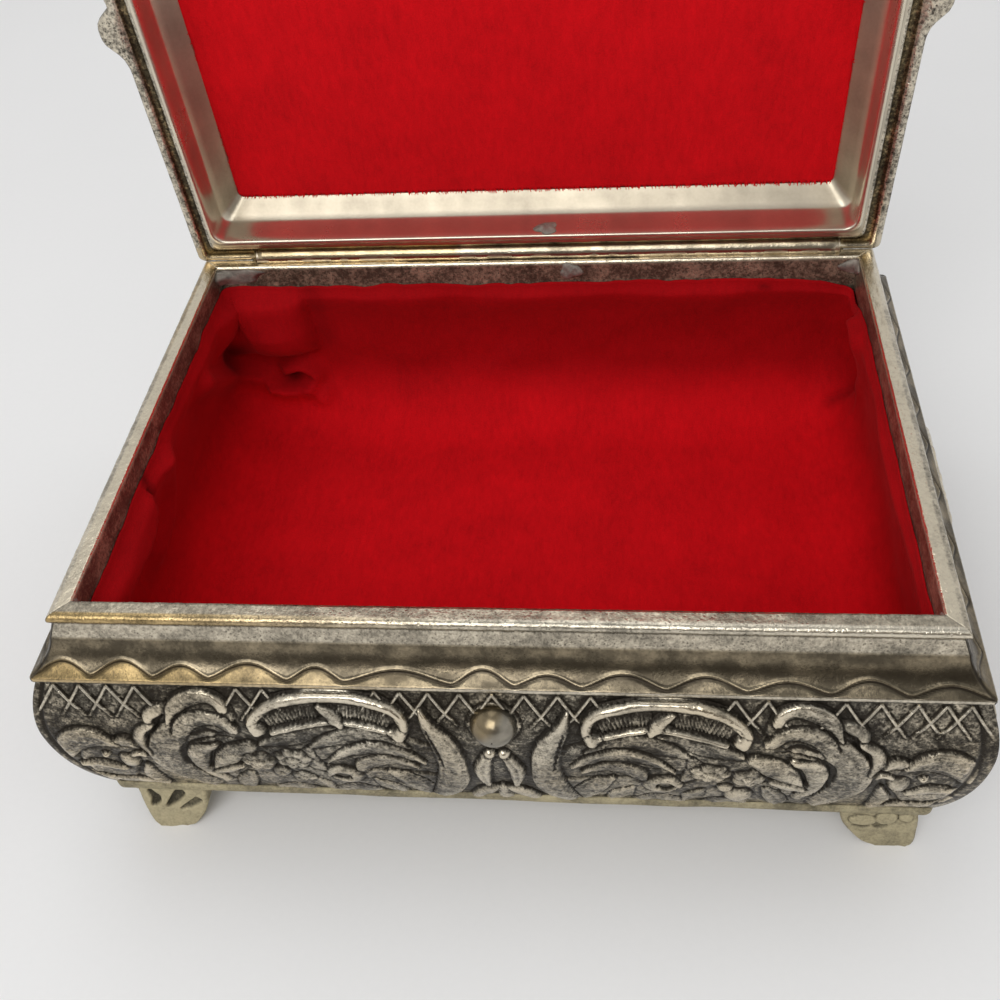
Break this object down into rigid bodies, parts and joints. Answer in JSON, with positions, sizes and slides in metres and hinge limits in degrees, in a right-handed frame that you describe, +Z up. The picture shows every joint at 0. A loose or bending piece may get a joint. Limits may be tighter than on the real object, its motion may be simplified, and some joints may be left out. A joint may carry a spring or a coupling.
{
  "type": "keepsake casket",
  "caption": "Cast white-metal keepsake casket with swelling scroll-worked walls, bracket feet, red velvet lining and a hinged lid that stands open",
  "frame": {"origin": "on the table, under the middle of the outline of the casket with its lid open", "axes": "+X to the right seen from the front, +Y to the back where the hinge is, +Z up"},
  "size_m": [0.1282, 0.0978, 0.1307],
  "materials": {
    "antiqued_white_metal": "cast, silvered, dark in the recesses",
    "pale_white_metal": "cast, worn pale",
    "hinge_metal": "rolled, bright",
    "solder": "dull grey",
    "card": "plain",
    "red_velvet": "short pile"
  },
  "bodies": {
    "box": {"front_wall": "antiqued_white_metal", "back_wall": "antiqued_white_metal", "left_wall": "antiqued_white_metal", "right_wall": "antiqued_white_metal", "base_plate": "pale_white_metal", "front_left_foot": "pale_white_metal", "front_right_foot": "pale_white_metal", "back_left_foot": "pale_white_metal", "back_right_foot": "pale_white_metal", "corner_solder": "solder", "left_knuckle": "hinge_metal", "right_knuckle": "hinge_metal", "hinge_pin": "hinge_metal", "hinge_solder": "solder", "floor_card": "card", "velvet_lining": "red_velvet"},
    "lid": {"lid_casting": "antiqued_white_metal", "middle_knuckle": "hinge_metal", "lid_solder": "solder", "lid_card": "card", "lid_velvet": "red_velvet"}
  },
  "joints": [
    {"name": "lid_hinge", "type": "hinge", "parent": "box", "child": "lid", "pos_m": [0, 0.0392, 0.047], "axis": [-1, 0, 0], "range_deg": [-85, 0]}
  ]
}
